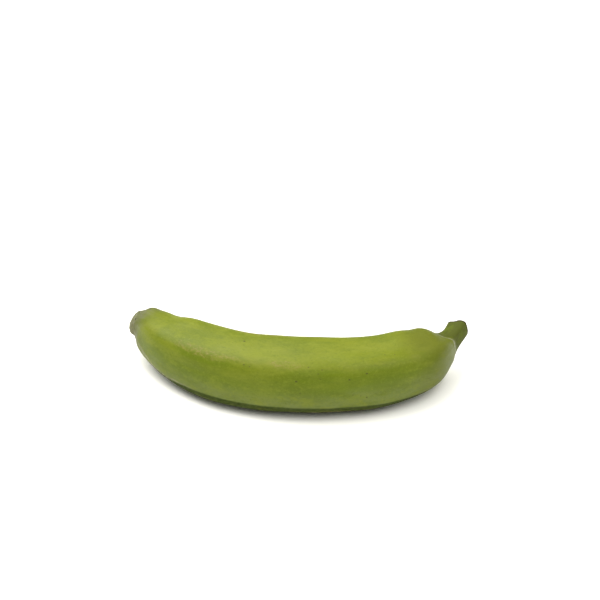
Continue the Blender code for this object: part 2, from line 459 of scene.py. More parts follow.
def half_thickness(along, around):
    """Return the plain form's distance from the middle line to the peel."""
    girth = smooth_curve(GIRTH)(along / MM)
    sharpness = smooth_curve(RIDGE_SHARPNESS)(along / MM)
    total = 0
    for facing, share in SIDES:
        towards = np.maximum(np.cos(around - math.radians(facing)), 0)
        total = total + (towards / share) ** sharpness
    radius = girth * total ** (-1 / sharpness)
    for distance, place, height, reach_along, reach_around in SWELLINGS:
        radius = radius + height * patch(along, around, distance, place, reach_along, reach_around)
    return radius * MM


def crest(around):
    """Return 1 on the line of each ridge, falling to 0 a few degrees to either side."""
    closest = 0
    for place in RIDGES:
        off = turned_from(around, place) / math.radians(CREST_WIDTH)
        closest = np.maximum(closest, np.exp(-off ** 2))
    return closest


def slow_swells(along, around, waves):
    """Return a smooth seeded unevenness of about unit height."""
    draw = np.random.default_rng(waves.seed)
    total = np.zeros(np.broadcast(along, around).shape)
    for _ in range(waves.number):
        length = draw.uniform(waves.shortest, waves.longest)
        turns = draw.integers(0, waves.most_around + 1)
        start = draw.uniform(0, FULL_TURN)
        lean = draw.uniform(0, FULL_TURN)
        total = total + np.cos(FULL_TURN * along / length + start) * np.cos(turns * around + lean)
    return total * math.sqrt(2 / waves.number)


def smoothstep(value, low, high):
    """Return a soft step from 0 at low to 1 at high."""
    share = np.clip((value - low) / (high - low), 0, 1)
    return share * share * (3 - 2 * share)


def past_seam(along, around):
    """Return how far past the neck's seam a place lies, in metres."""
    places, distances = np.array(SEAM, float).T
    total = 0
    for turn in SEAM_SMOOTHING:
        total = total + np.interp(np.degrees(around) + turn, places, distances, period=360)
    return along - total / len(SEAM_SMOOTHING) * MM


def off_scuff_glint(along, around, radius):
    """Return how far above the scuffed line a place lies, measured round the fruit, in metres."""
    distances, places = np.array(SCUFF_GLINT_LINE, float).T
    turn = around - np.radians(np.interp(along / MM, distances, places))
    return radius * np.arctan2(np.sin(turn), np.cos(turn))


def seam_lip(along, around):
    """Return the seam's height as a share: a slow rise from the shoulder, and a quick drop to the stem."""
    past = past_seam(along, around)
    return np.where(past < 0, np.exp(-(past / SEAM_SLOPE) ** 2), np.exp(-(past / SEAM_EDGE) ** 2))


def rim_lip(form, along, around):
    """Return the height of the uneven rim round the blossom end."""
    uneven = 1 + RIM_UNEVENNESS * slow_swells(0, around, EDGE_WAVES)
    return form.rim_height * np.exp(-(along / RIM_REACH) ** 2) * uneven


def puckers(form, along, around):
    """Return the height of the puckers that gather towards the blossom end."""
    lean = slow_swells(along, around, PUCKER_WAVES)
    return form.pucker_depth * np.exp(-along / PUCKER_REACH) * np.cos(PUCKERS_AROUND * around + lean)


def relief(form, along, around):
    """Return how far the fine peel stands off the plain form."""
    on_stem = smoothstep(along, *STEM_BLEND)
    height = form.crest_height * crest(around) * (1 - on_stem)
    strand_depth = form.strand_depth + (form.stem_strand_depth - form.strand_depth) * on_stem
    height = height + strand_depth * slow_swells(along, around, STRANDS)
    height = height + form.stem_facets * on_stem * np.cos(STEM_SIDES * around + STEM_SIDES_TURN)
    calm = smoothstep(along, 0, SWELLS_START) * (1 - STEM_CALM * on_stem)
    height = height + form.unevenness * slow_swells(along, around, SWELLS) * calm
    for distance, place, dent, reach_along, reach_around in DENTS:
        height = height - dent * MM * patch(along, around, distance, place, reach_along, reach_around)
    height = height + puckers(form, along, around)
    uneven_seam = SEAM_EVENNESS + (1 - SEAM_EVENNESS) * slow_swells(along, around, SEAM_WAVES)
    height = height + form.seam_height * seam_lip(along, around) * uneven_seam
    return height + rim_lip(form, along, around)


def rolled(points):
    """Return the points turned about X as the fruit lies."""
    roll = math.radians(ROLL)
    y = points[:, 1] * math.cos(roll) - points[:, 2] * math.sin(roll)
    z = points[:, 1] * math.sin(roll) + points[:, 2] * math.cos(roll)
    return np.stack([points[:, 0], y, z], axis=1)


def outwards(around, outward, upward):
    """Return the directions from the middle line out to each place around."""
    return np.cos(around)[:, None] * outward + np.sin(around)[:, None] * upward


def straightened(along, spread, around):
    """Return where rings of points would lie on the straightened fruit."""
    distance = np.broadcast_to(along, spread.shape)
    return np.stack([distance, spread * np.cos(around), spread * np.sin(around)], axis=-1)


def body_rings(along, around, radius, line, leaning=0):
    """Return every ring's points, moved ahead by the leaning, and the same points straightened without it."""
    points, ahead, outward, upward = line
    across = outwards(around, outward[:, None, :], upward[:, None, :])
    placed = points[:, None, :] + radius[..., None] * across
    placed = placed + np.broadcast_to(leaning, radius.shape)[..., None] * ahead[:, None, :]
    return placed, straightened(along[:, None], radius, around)


def scarred(depth, spread, around):
    """Return the dome's depth with its scar sunk in and the bumpy ring raised round it."""
    sunk = SCAR_DEPTH * np.exp(-(spread / SCAR_REACH) ** 2)
    bumps = 1 + SCAR_RING_BUMPINESS * np.cos(SCAR_RING_BUMPS * around + SCAR_RING_TURN)
    ring = SCAR_RING * np.exp(-((spread - SCAR_RING_AT) / SCAR_RING_WIDTH) ** 2)
    return depth - sunk + ring * bumps


def dome_rings(rings, around, radius, line, form=None):
    """Return the blossom dome's rings from its point to the rim, straightened too, and its point likewise.

    With a form, the dome has the rim, the folds and the scar. Without one it is plain.
    """
    points, ahead, outward, upward = (part[0] for part in line)
    reach = (outward - upward) * DOME_DROP / math.sqrt(2) - ahead * DOME_DEPTH
    turn = (np.arange(1, rings + 1) / (rings + 1) * math.pi / 2)[:, None]
    shrink = np.cos(turn) ** DOME_POINTEDNESS
    depth = np.broadcast_to(np.sin(turn) ** DOME_POINTEDNESS, (rings, len(around)))
    spread = radius[None, :] * shrink
    tip_depth = 1.0
    if form is not None:
        spread = (radius - rim_lip(form, 0, around))[None, :] * shrink
        spread = spread + rim_lip(form, DOME_DEPTH * depth, around[None, :])
        wander = FOLD_WANDER * np.sin(FOLD_WANDERS_AROUND * around)
        folds = np.cos(DOME_FOLDS * around + wander + FOLD_TWIST * depth)
        spread = spread + FOLD_SHARE * form.pucker_depth * folds * np.sin(2 * turn)
        depth = scarred(depth, spread / radius.mean(), around)
        tip_depth = 1.0 - SCAR_DEPTH + SCAR_NUB
    placed = points + depth[..., None] * reach + spread[..., None] * outwards(around, outward, upward)
    straight = straightened(-DOME_DEPTH * depth, spread, around)
    return placed[::-1], straight[::-1], points + reach * tip_depth, np.array([-DOME_DEPTH * tip_depth, 0, 0])


def cut_lean(around):
    """Return how far the cut stands ahead of a square cut at each place around, in metres."""
    ahead = 0
    for place, distance, reach in CUT_CORNERS:
        ahead = ahead + distance * MM * np.exp(-(turned_from(around, place) / math.radians(reach)) ** 2)
    return ahead


def cut_rises(rings, around):
    """Return each ring's share of the cut's half thickness, and how far ahead of the end each point lies."""
    shares = np.linspace(1, 0, rings + 1)[:-1, None] ** CUT_RING_CROWDING
    edge = 0.5 + 0.5 * np.tanh(slow_swells(0, around, EDGE_WAVES))
    rises = CUT_FACE_RISE * np.sqrt(1 - shares ** CUT_FACE_FLATNESS)
    rises = rises + CUT_EDGE_UNEVENNESS * edge[None, :] * shares ** CUT_EDGE_NARROWNESS
    rises = rises + cut_lean(around)[None, :] * shares
    fade = (1 - shares ** FIBRE_EDGE_NARROWNESS) * smoothstep(shares, *FIBRES_BLEND)
    rises = rises + FIBRE_HEIGHT * slow_swells(shares * FIBRE_SPREAD, around, FIBRE_WAVES) * fade
    return shares, rises


def cut_face(rings, around, radius, line):
    """Return the fine cut face: an uneven dried edge round a slightly swollen, fibrous middle."""
    shares, rises = cut_rises(rings, around)
    points, ahead, outward, upward = (part[-1] for part in line)
    spread = shares * radius[None, :]
    placed = points + rises[..., None] * ahead + spread[..., None] * outwards(around, outward, upward)
    straight = straightened(FRUIT_LENGTH + rises, spread, around)
    end = points + ahead * CUT_FACE_RISE
    return placed, straight, end, np.array([FRUIT_LENGTH + CUT_FACE_RISE, 0, 0])


def lying_place():
    """Return the move that brings the rolled fruit's plain form to rest over the origin, in metres."""
    along = ring_distances(PLAIN_RINGS)
    around = np.linspace(0, FULL_TURN, PLAIN_POINTS, endpoint=False)
    line = middle_line(along)
    radius = half_thickness(along[:, None], around[None, :])
    body, _ = body_rings(along, around, radius, line)
    dome, _, tip, _ = dome_rings(PLAIN_DOME_RINGS, around, radius[0], line)
    end = line[0][-1] + line[1][-1] * CUT_FACE_RISE
    points = rolled(np.vstack([body.reshape(-1, 3), dome.reshape(-1, 3), tip[None], end[None]]))
    low = points.min(axis=0)
    high = points.max(axis=0)
    return np.array([(low[0] + high[0]) / 2, (low[1] + high[1]) / 2, low[2] + BELLY_FLAT])


def closed_skin(name, rings, tips):
    """Make one closed mesh from rings of points in order and the two tips that close its ends."""
    count, points_around, _ = rings.shape
    points = np.vstack([rings.reshape(-1, 3), tips])
    start = np.arange(count - 1)[:, None] * points_around
    here = np.arange(points_around)[None, :]
    beside = (here + 1) % points_around
    next_ring = start + points_around
    quads = np.stack([start + here, start + beside, next_ring + beside, next_ring + here], axis=-1)
    faces = quads.reshape(-1, 4).tolist()
    first_tip = count * points_around
    last_ring = (count - 1) * points_around
    for j in range(points_around):
        k = (j + 1) % points_around
        faces.append((first_tip, k, j))
        faces.append((first_tip + 1, last_ring + j, last_ring + k))
    mesh = bpy.data.meshes.new(name)
    mesh.from_pydata(points.tolist(), [], faces)
    mesh.validate()
    skin = bmesh.new()
    skin.from_mesh(mesh)
    bmesh.ops.recalc_face_normals(skin, faces=skin.faces)
    skin.to_mesh(mesh)
    skin.free()
    mesh.shade_smooth()
    return mesh


def store_places(mesh, unbent):
    """Store where each point lies on the straightened fruit, and how near it is to the fruit's lines."""
    layer = mesh.attributes.new("unbent", "FLOAT_VECTOR", "POINT")
    layer.data.foreach_set("vector", unbent.astype(np.float32).ravel())
    along = unbent[:, 0]
    around = np.arctan2(unbent[:, 2], unbent[:, 1])
    radius = np.hypot(unbent[:, 1], unbent[:, 2])
    for name, values in (
        ("past_seam", past_seam(along, around)),
        ("off_scuff_glint", off_scuff_glint(along, around, radius)),
        ("ridge", crest(around)),
    ):
        layer = mesh.attributes.new(name, "FLOAT", "POINT")
        layer.data.foreach_set("value", values.astype(np.float32))


def give_finishes(mesh, points_around, dome_count, body_count, ring_count):
    """Give the dome's faces the cork, the cut's faces the cut, and leave the peel on the rest."""
    _, cork, cut = range(3)
    finishes = np.zeros(len(mesh.polygons), np.int32)
    finishes[:dome_count * points_around] = cork
    finishes[(dome_count + body_count) * points_around:] = cut
    tip_fans = (ring_count - 1) * points_around
    finishes[tip_fans::2] = cork
    mesh.polygons.foreach_set("material_index", finishes)


def make_skin(form, materials):
    """Make the fruit's fine skin as it lies, with the peel, the cork and the cut as its materials."""
    along = ring_distances(form.rings)
    around = np.linspace(0, FULL_TURN, form.points_around, endpoint=False)
    line = middle_line(along)
    radius = half_thickness(along[:, None], around[None, :]) + relief(form, along[:, None], around[None, :])
    leaning = smoothstep(along, LEAN_STARTS, FRUIT_LENGTH)[:, None] * cut_lean(around)[None, :]
    body, straight_body = body_rings(along, around, radius, line, leaning)
    dome, straight_dome, tip, straight_tip = dome_rings(form.dome_rings, around, radius[0], line, form)
    cut, straight_cut, end, straight_end = cut_face(form.cut_rings, around, radius[-1], line)
    rings = np.concatenate([dome, body, cut])
    straight = np.concatenate([straight_dome, straight_body, straight_cut])
    place = lying_place()
    lying = (rolled(rings.reshape(-1, 3)) - place).reshape(rings.shape)
    lying[..., 2] = np.maximum(lying[..., 2], 0)
    mesh = closed_skin("banana_fruit", lying, rolled(np.stack([tip, end])) - place)
    store_places(mesh, np.vstack([straight.reshape(-1, 3), straight_tip, straight_end]))
    for material in materials:
        mesh.materials.append(material)
    give_finishes(mesh, form.points_around, len(dome), len(body), len(rings))
    return mesh


class Paint:
    """A short way to build one material's nodes, with colours laid on one over the other."""

    def __init__(self, name, tints=None, noises=None):
        self.material = bpy.data.materials.new(name)
        self.material.use_nodes = True
        self.nodes = self.material.node_tree.nodes
        self.links = self.material.node_tree.links
        self.shader = self.nodes["Principled BSDF"]
        self.tints = tints
        self.colour = None
        self.heights = {}
        for key, (stretch, scale, detail, roughness) in (noises or {}).items():
            self.heights[key] = self.noise(self.unbent(stretch), scale, detail, roughness)

    def put(self, socket, value):
        """Set a socket to a value, or link it to another node's output."""
        if isinstance(value, bpy.types.NodeSocket):
            self.links.new(value, socket)
        else:
            socket.default_value = value

    def unbent(self, stretch=(1, 1, 1)):
        """Return the place on the straightened fruit, with each way scaled."""
        place = self.nodes.new("ShaderNodeAttribute")
        place.attribute_name = "unbent"
        scaled = self.nodes.new("ShaderNodeVectorMath")
        scaled.operation = "MULTIPLY"
        self.put(scaled.inputs[0], place.outputs["Vector"])
        scaled.inputs[1].default_value = stretch
        return scaled.outputs["Vector"]

    def stored(self, name):
        """Return a number stored on the mesh's points."""
        node = self.nodes.new("ShaderNodeAttribute")
        node.attribute_name = name
        return node.outputs["Fac"]

    def part(self, vector, axis):
        """Return one of a vector's three parts."""
        split = self.nodes.new("ShaderNodeSeparateXYZ")
        self.put(split.inputs[0], vector)
        return split.outputs[axis]

    def noise(self, vector, scale, detail, roughness):
        """Return a soft cloudy noise from 0 to 1."""
        node = self.nodes.new("ShaderNodeTexNoise")
        self.put(node.inputs["Vector"], vector)
        node.inputs["Scale"].default_value = scale
        node.inputs["Detail"].default_value = detail
        node.inputs["Roughness"].default_value = roughness
        return node.outputs["Fac"]

    def scattered(self, stretch, scale, start, full):
        """Return scattered dots, 1 in the middle of each."""
        node = self.nodes.new("ShaderNodeTexVoronoi")
        self.put(node.inputs["Vector"], self.unbent(stretch))
        node.inputs["Scale"].default_value = scale
        return self.step(node.outputs["Distance"], start, full)

    def step(self, value, start, full, share_before=0.0, share_after=1.0):
        """Return a share that changes softly as a value goes from one limit to the other."""
        node = self.nodes.new("ShaderNodeMapRange")
        node.interpolation_type = "SMOOTHSTEP"
        self.put(node.inputs["Value"], value)
        node.inputs["From Min"].default_value = start
        node.inputs["From Max"].default_value = full
        node.inputs["To Min"].default_value = share_before
        node.inputs["To Max"].default_value = share_after
        return node.outputs["Result"]

    def ramp(self, key, ramp):
        """Return the share that a ramp gives for one of the noises."""
        return self.step(self.heights[key], *ramp)

    def math(self, operation, *values):
        """Return the result of one math node."""
        node = self.nodes.new("ShaderNodeMath")
        node.operation = operation
        for socket, value in zip(node.inputs, values):
            self.put(socket, value)
        return node.outputs[0]

    def vector_math(self, operation, *values):
        """Return the node of one operation on vectors."""
        node = self.nodes.new("ShaderNodeVectorMath")
        node.operation = operation
        for socket, value in zip(node.inputs, values):
            self.put(socket, value)
        return node

    def times(self, first, *others):
        """Return several shares multiplied."""
        for other in others:
            first = self.math("MULTIPLY", first, other)
        return first

    def most(self, first, *others):
        """Return the largest of several shares."""
        for other in others:
            first = self.math("MAXIMUM", first, other)
        return first

    def blurred(self, value, key, blur):
        """Return a value with a share of a noise added to it, which breaks up its even lines."""
        return self.math("MULTIPLY_ADD", self.heights[key], blur, value)

    def frayed(self, key, depth):
        """Return a noise about zero, for fraying the edges of spots."""
        return self.math("MULTIPLY_ADD", self.heights[key], depth, -depth / 2)

    def calmed(self, share, part):
        """Return what is left of 1 once a part of a share is taken off it."""
        return self.math("MULTIPLY_ADD", share, -part, 1.0)

    def near(self, distance, middle, ramp):
        """Return the share that a ramp gives for how far a distance is from its middle, either way."""
        return self.step(self.math("ABSOLUTE", self.math("ADD", distance, -middle)), *ramp)

    def spot(self, place, centre, reach, fraying):
        """Return 1 inside an oval spot on the straightened fruit, 0 outside, its edge frayed by a noise."""
        away = self.vector_math("SUBTRACT", place, centre)
        shrunk = self.vector_math("DIVIDE", away.outputs["Vector"], reach)
        length = self.vector_math("LENGTH", shrunk.outputs["Vector"])
        return self.step(self.math("ADD", length.outputs["Value"], fraying), *SPOT_EDGE)

    def spots(self, place, table, fraying):
        """Return 1 inside every spot of a table, 0 outside."""
        shares = []
        for distance, around, length, width in table:
            reach = (length * MM, width * MM, width * MM)
            shares.append(self.spot(place, on_straightened(distance, around), reach, fraying))
        return self.most(*shares)

    def mix(self, share, first, second):
        """Return two colours mixed."""
        node = self.nodes.new("ShaderNodeMix")
        node.data_type = "RGBA"
        self.put(node.inputs[0], share)
        self.put(node.inputs[6], first)
        self.put(node.inputs[7], second)
        return node.outputs[2]

    def lay(self, tint, share):
        """Paint one of the tints over what is there, by a share."""
        self.colour = self.mix(share, self.colour, self.tints[tint])

    def mottle(self, table):
        """Lay on a table of tints, each by the ramp of a noise."""
        for key, ramp, tint in table:
            self.lay(tint, self.ramp(key, ramp))

    def bumps(self, table):
        """Return the surface's direction with each of a table's heights raised on the one before."""
        normal = None
        for key, distance, strength in table:
            node = self.nodes.new("ShaderNodeBump")
            self.put(node.inputs["Height"], self.heights[key])
            node.inputs["Distance"].default_value = distance
            node.inputs["Strength"].default_value = strength
            if normal is not None:
                self.put(node.inputs["Normal"], normal)
            normal = node.outputs["Normal"]
        return normal

    def finish(self, roughness, normal):
        """Give the shader its colour, roughness and surface, and return the material."""
        self.put(self.shader.inputs["Base Color"], self.colour)
        self.put(self.shader.inputs["Roughness"], roughness)
        self.put(self.shader.inputs["Normal"], normal)
        return self.material


def on_straightened(distance, place):
    """Return the spot on the straightened fruit for a distance along in mm and a place around in degrees."""
    along = np.array([distance * MM])
    around = np.array([math.radians(place)])
    radius = half_thickness(along, around)[0]
    return distance * MM, radius * math.cos(around[0]), radius * math.sin(around[0])


class PeelPaint(Paint):
    """The waxy green peel, painted in layers from the ground colour up to the specks."""

    def __init__(self, tints):
        super().__init__("green_peel", tints, PEEL_NOISES)
        for key, row in PEEL_DOTS.items():
            self.heights[key] = self.scattered(*row)
        self.heights["flecks"] = self.times(self.heights["flecks"], self.ramp("deep_patches", FLECKS_RAMP))
        self.heights["pores"] = self.times(self.heights["pores"], self.ramp("pale_patches", PORES_RAMP))
        self.place = self.unbent()
        self.along = self.part(self.place, 0)
        self.outward = self.part(self.place, 1)
        self.upward = self.part(self.place, 2)
        self.past_seam = self.stored("past_seam")

    def ground(self):
        """Lay the ground colours with painted light and shade, and return the lit top and the shade bands."""
        # Lighter, yellower top: partly the peel's own colour, partly painted light from above
        sunny = self.step(self.blurred(self.upward, "clouds", SUNNY_LIT_BLUR), *SUNNY_LIT_RAMP)
        self.colour = self.mix(sunny, self.tints["leafy"], self.tints["sunny"])
        fraying = self.frayed("deep_patches", SHADE_BAND_FRAYING)
        # Painted reflection of the pale floor: a paler, bluer grey green lower down and on the frosted places
        waxy = self.step(self.blurred(self.upward, "clouds", WAXY_SHEEN_BLUR), *WAXY_SHEEN_RAMP)
        frosted_sheen = self.times(self.spots(self.place, FROSTED_SHEEN, fraying), FROSTED_SHEEN_SHARE)
        self.lay("waxy", self.most(waxy, frosted_sheen))
        # Painted shade: darker bands on the top towards the stem and under the outer ridge
        golden_shade = self.spots(self.place, GOLDEN_SHADE, fraying)
        self.lay("golden_shade", self.times(golden_shade, GOLDEN_SHADE_SHARE))
        lush_shade = self.spots(self.place, LUSH_SHADE, fraying)
        self.lay("lush_shade", self.times(lush_shade, LUSH_SHADE_SHARE))
        return sunny, self.most(lush_shade, golden_shade)

    def mottling(self, sunny, shade_bands):
        """Lay the clouds, patches, streaks, freckles, grain, flecks and pores."""
        self.mottle(CLOUDING)
        deeper = self.ramp("deep_patches", DEEP_PATCHES_RAMP)
        self.lay("deep", self.times(deeper, self.calmed(sunny, SUNNY_LIT_CALM)))
        paler = self.ramp("pale_patches", PALE_PATCHES_RAMP)
        self.lay("pale", self.times(paler, self.calmed(shade_bands, SHADE_BAND_CALM)))
        self.mottle(FINE_MOTTLING)
        self.lay("deep", self.times(self.heights["flecks"], FLECKS_SHARE))
        self.lay("pale", self.times(self.heights["pores"], PORES_SHARE))

    def underside(self):
        """Paint shade on the underside, and return its share. The dots go over it."""
        low = self.blurred(self.upward, "clouds", UNDERSIDE_SHADE_BLUR)
        outer = self.step(self.outward, *OUTER_SIDE_RAMP)
        shade_beneath = self.times(self.step(low, *SHARP_UNDERSIDE_SHADE_RAMP), outer)
        shade_beneath = self.most(shade_beneath, self.step(low, *SOFT_UNDERSIDE_SHADE_RAMP))
        shade_beneath = self.times(shade_beneath, self.ramp("freckles", UNDERSIDE_SHADE_FRECKLES_RAMP))
        self.lay("shade_beneath", shade_beneath)
        self.lay("speck", self.times(self.heights["dots"], self.ramp("freckles", DOTS_RAMP)))
        return shade_beneath

    def wear_and_glint(self):
        """Rub the ridges tan, and scuff the line low on the outer side, with a painted highlight along it."""
        rubbed = self.spots(self.place, RUBS, self.frayed("ragged", RUB_RAGGEDNESS))
        rubbed = self.times(rubbed, self.ramp("freckles", RUB_WEAR_RAMP))
        on_crests = self.times(self.stored("ridge"), self.ramp("pale_patches", CREST_WEAR_RAMP))
        self.lay("rust", self.most(rubbed, on_crests))
        # The scuffed line: partly wear, partly a painted highlight along the lower edge
        wandering = self.blurred(self.stored("off_scuff_glint"), "wandering", SCUFF_GLINT_WANDER)
        scuffed = self.near(wandering, SCUFF_GLINT_WANDER / 2, SCUFF_GLINT_RAMP)
        ending = self.step(self.blurred(self.along, "deep_patches", SCUFF_GLINT_END_BLUR), *SCUFF_GLINT_END_RAMP)
        self.lay("scuff", self.times(scuffed, self.ramp("freckles", SCUFF_GLINT_FRECKLES_RAMP), ending))

    def ends(self):
        """Paint the shoulder, the tip and the stem, and return the tip's and the stem's shares."""
        shouldered = self.blurred(self.along, "clouds", SHOULDER_BLUR)
        self.lay("shoulder", self.step(shouldered, *SHOULDER_RAMP))
        self.lay("shoulder", self.step(shouldered, *DULL_TIP_RAMP))
        near_tip = self.step(self.blurred(self.along, "deep_patches", TIP_BLUR), *TIP_RAMP)
        self.lay("bloom", self.times(near_tip, self.ramp("freckles", BLOOM_RAMP)))
        self.lay("rim", self.times(near_tip, self.ramp("freckles", TIP_FLECKS_RAMP)))
        rim_line = self.step(self.blurred(self.along, "deep_patches", RIM_LINE_BLUR), *RIM_LINE_RAMP)
        self.lay("rim", self.times(rim_line, self.ramp("freckles", RIM_FRECKLES_RAMP)))
        on_stem = self.step(self.blurred(self.past_seam, "deep_patches", STEM_BLUR), *STEM_RAMP)
        self.lay("stem", self.times(on_stem, STEM_SHARE))
        self.lay("leafy", self.times(on_stem, self.ramp("pale_patches", STEM_PATCHES_RAMP)))
        return near_tip, on_stem

    def seam(self):
        """Draw the seam's light line: a pale seam with a painted highlight."""
        line = self.near(self.past_seam, -SEAM_GLINT_BEFORE, SEAM_GLINT_RAMP)
        low = self.step(self.upward, *SEAM_GLINT_HEIGHT_RAMP)
        outer = self.step(self.outward, *SEAM_GLINT_OUTER_RAMP)
        self.lay("rim", self.times(line, self.ramp("freckles", SEAM_GLINT_FRECKLES_RAMP), low, outer))

    def specks(self):
        """Put on the dark specks and the stem's dried end."""
        self.heights["specks"] = self.spots(self.place, SPECKS, self.frayed("fraying", SPECK_FRAYING))
        self.lay("speck", self.times(self.heights["specks"], SPECK_SHARE))
        self.lay("dried", self.step(self.blurred(self.along, "deep_patches", DRIED_BLUR), *DRIED_RAMP))

    def roughness(self, near_tip, on_stem, shade_beneath):
        """Return how dull the peel is at each place."""
        glossy = self.blurred(self.heights["pale_patches"], "grain", GRAIN_IN_GLOSS)
        return self.most(
            self.step(glossy, *GLOSS_RAMP),
            self.times(near_tip, DULL_END_ROUGHNESS),
            self.times(on_stem, DULL_END_ROUGHNESS),
            self.times(self.heights["specks"], SPECK_ROUGHNESS),
            self.times(shade_beneath, UNDERSIDE_ROUGHNESS),
        )


def peel_material(tints):
    """Return the waxy green peel: soft patches, faint streaks and flecks, rubbed ridges, bloom and specks."""
    paint = PeelPaint(tints)
    sunny, shade_bands = paint.ground()
    paint.mottling(sunny, shade_bands)
    shade_beneath = paint.underside()
    paint.wear_and_glint()
    near_tip, on_stem = paint.ends()
    paint.seam()
    paint.specks()
    paint.shader.inputs["Specular IOR Level"].default_value = PEEL_SPECULAR
    return paint.finish(paint.roughness(near_tip, on_stem, shade_beneath), paint.bumps(PEEL_BUMPS))


def cork_material(tints):
    """Return the blossom end: grey green cork, mottled with brown, with a dark scar and a dark spot."""
    paint = Paint("blossom_cork", tints, CORK_NOISES)
    place = paint.unbent()
    paint.colour = tints["cork"]
    paint.mottle(CORK_MOTTLING)
    fraying = paint.frayed("fine", CORK_MARK_FRAYING)
    for centre, reach in CORK_MARKS:
        paint.lay("dried", paint.times(paint.spot(place, centre, reach, fraying), CORK_MARK_SHARE))
    return paint.finish(paint.ramp("fine", CORK_GLOSS_RAMP), paint.bumps(CORK_BUMPS))


def cut_material(tints):
    """Return the stem's dried cut: tan fibres with dark strand ends and a dark dried edge."""
    paint = Paint("stem_cut", tints, CUT_NOISES)
    paint.heights["strand_ends"] = paint.scattered(*STRAND_ENDS)
    paint.colour = tints["cut"]
    paint.lay("rust", paint.ramp("coarse", CUT_TAN_RAMP))
    paint.lay("dried", paint.times(paint.heights["strand_ends"], STRAND_ENDS_SHARE))
    paint.lay("speck", paint.ramp("fine", CUT_FLECKS_RAMP))
    across = paint.unbent((0, 1, 1))
    from_middle = paint.vector_math("LENGTH", across).outputs["Value"]
    paint.lay("dried", paint.step(paint.blurred(from_middle, "coarse", CUT_EDGE_BLUR), *CUT_EDGE_RAMP))
    return paint.finish(CUT_ROUGHNESS, paint.bumps(CUT_BUMPS))


def add_light(name, power, width, place):
    """Add one soft square light at a place, facing the origin, which the fruit lies on."""
    light = bpy.data.lights.new(name, "AREA")
    light.energy = power
    light.size = width
    lamp = bpy.data.objects.new(name, light)
    lamp.location = place
    lamp.rotation_mode = "QUATERNION"
    lamp.rotation_quaternion = (-Vector(place)).to_track_quat("-Z", "Y")
    bpy.context.scene.collection.objects.link(lamp)


def add_camera(studio):
    """Add the camera, which looks at its aim from in front and above."""
    down = studio.camera_down
    back = Vector((0, -math.cos(down), math.sin(down)))
    lens = bpy.data.cameras.new("camera")
    lens.lens = studio.lens
    camera = bpy.data.objects.new("camera", lens)
    camera.location = Vector(studio.camera_aim) + back * studio.camera_distance
    camera.rotation_mode = "QUATERNION"
    camera.rotation_quaternion = (-back).to_track_quat("-Z", "Y")
    bpy.context.scene.collection.objects.link(camera)
    bpy.context.scene.camera = camera


def add_floor(studio):
    """Add the plain pale floor."""
    half = studio.floor_size / 2
    corners = [(-half, -half, 0), (half, -half, 0), (half, half, 0), (-half, half, 0)]
    mesh = bpy.data.meshes.new("floor")
    mesh.from_pydata(corners, [], [(0, 1, 2, 3)])
    paint = Paint("pale_floor")
    paint.shader.inputs["Base Color"].default_value = tuple(studio.floor_colour)
    paint.shader.inputs["Roughness"].default_value = FLOOR_ROUGHNESS
    mesh.materials.append(paint.material)
    floor = bpy.data.objects.new("floor", mesh)
    bpy.context.scene.collection.objects.link(floor)


def room_light(studio):
    """Return the room: soft light from above that dims towards the horizon, behind a white backdrop."""
    world = bpy.data.worlds.new("room")
    world.use_nodes = True
    nodes = world.node_tree.nodes
    links = world.node_tree.links
    place = nodes.new("ShaderNodeTexCoord")
    split = nodes.new("ShaderNodeSeparateXYZ")
    links.new(place.outputs["Generated"], split.inputs[0])
    height = nodes.new("ShaderNodeMapRange")
    height.interpolation_type = "SMOOTHSTEP"
    height.inputs["From Min"].default_value = studio.dim_below
    height.inputs["From Max"].default_value = studio.full_above
    height.inputs["To Min"].default_value = studio.horizon
    height.inputs["To Max"].default_value = studio.sky
    links.new(split.outputs["Z"], height.inputs["Value"])
    seen = nodes.new("ShaderNodeLightPath")
    strength = nodes.new("ShaderNodeMix")
    links.new(seen.outputs["Is Camera Ray"], strength.inputs[0])
    links.new(height.outputs["Result"], strength.inputs[2])
    strength.inputs[3].default_value = 1.0
    backdrop = nodes["Background"]
    backdrop.inputs["Color"].default_value = (1, 1, 1, 1)
    links.new(strength.outputs[0], backdrop.inputs["Strength"])
    return world


def metres(name, description, default):
    """Return the property of a length in metres."""
    return FloatProperty(name=name, description=description, default=default, unit="LENGTH")


def xyz_metres(name, description, default):
    """Return the property of a place in metres."""
    return FloatVectorProperty(
        name=name, description=description, default=default, size=3, subtype="TRANSLATION", unit="LENGTH")


def watts(name, description, default):
    """Return the property of a light's power in watts."""
    return FloatProperty(name=name, description=description, default=default, unit="POWER")


def shade(name, description, red, green, blue):
    """Return the property of a solid colour."""
    return FloatVectorProperty(
        name=name, description=description, default=(red, green, blue, 1), subtype="COLOR", size=4,
        min=0, max=1)


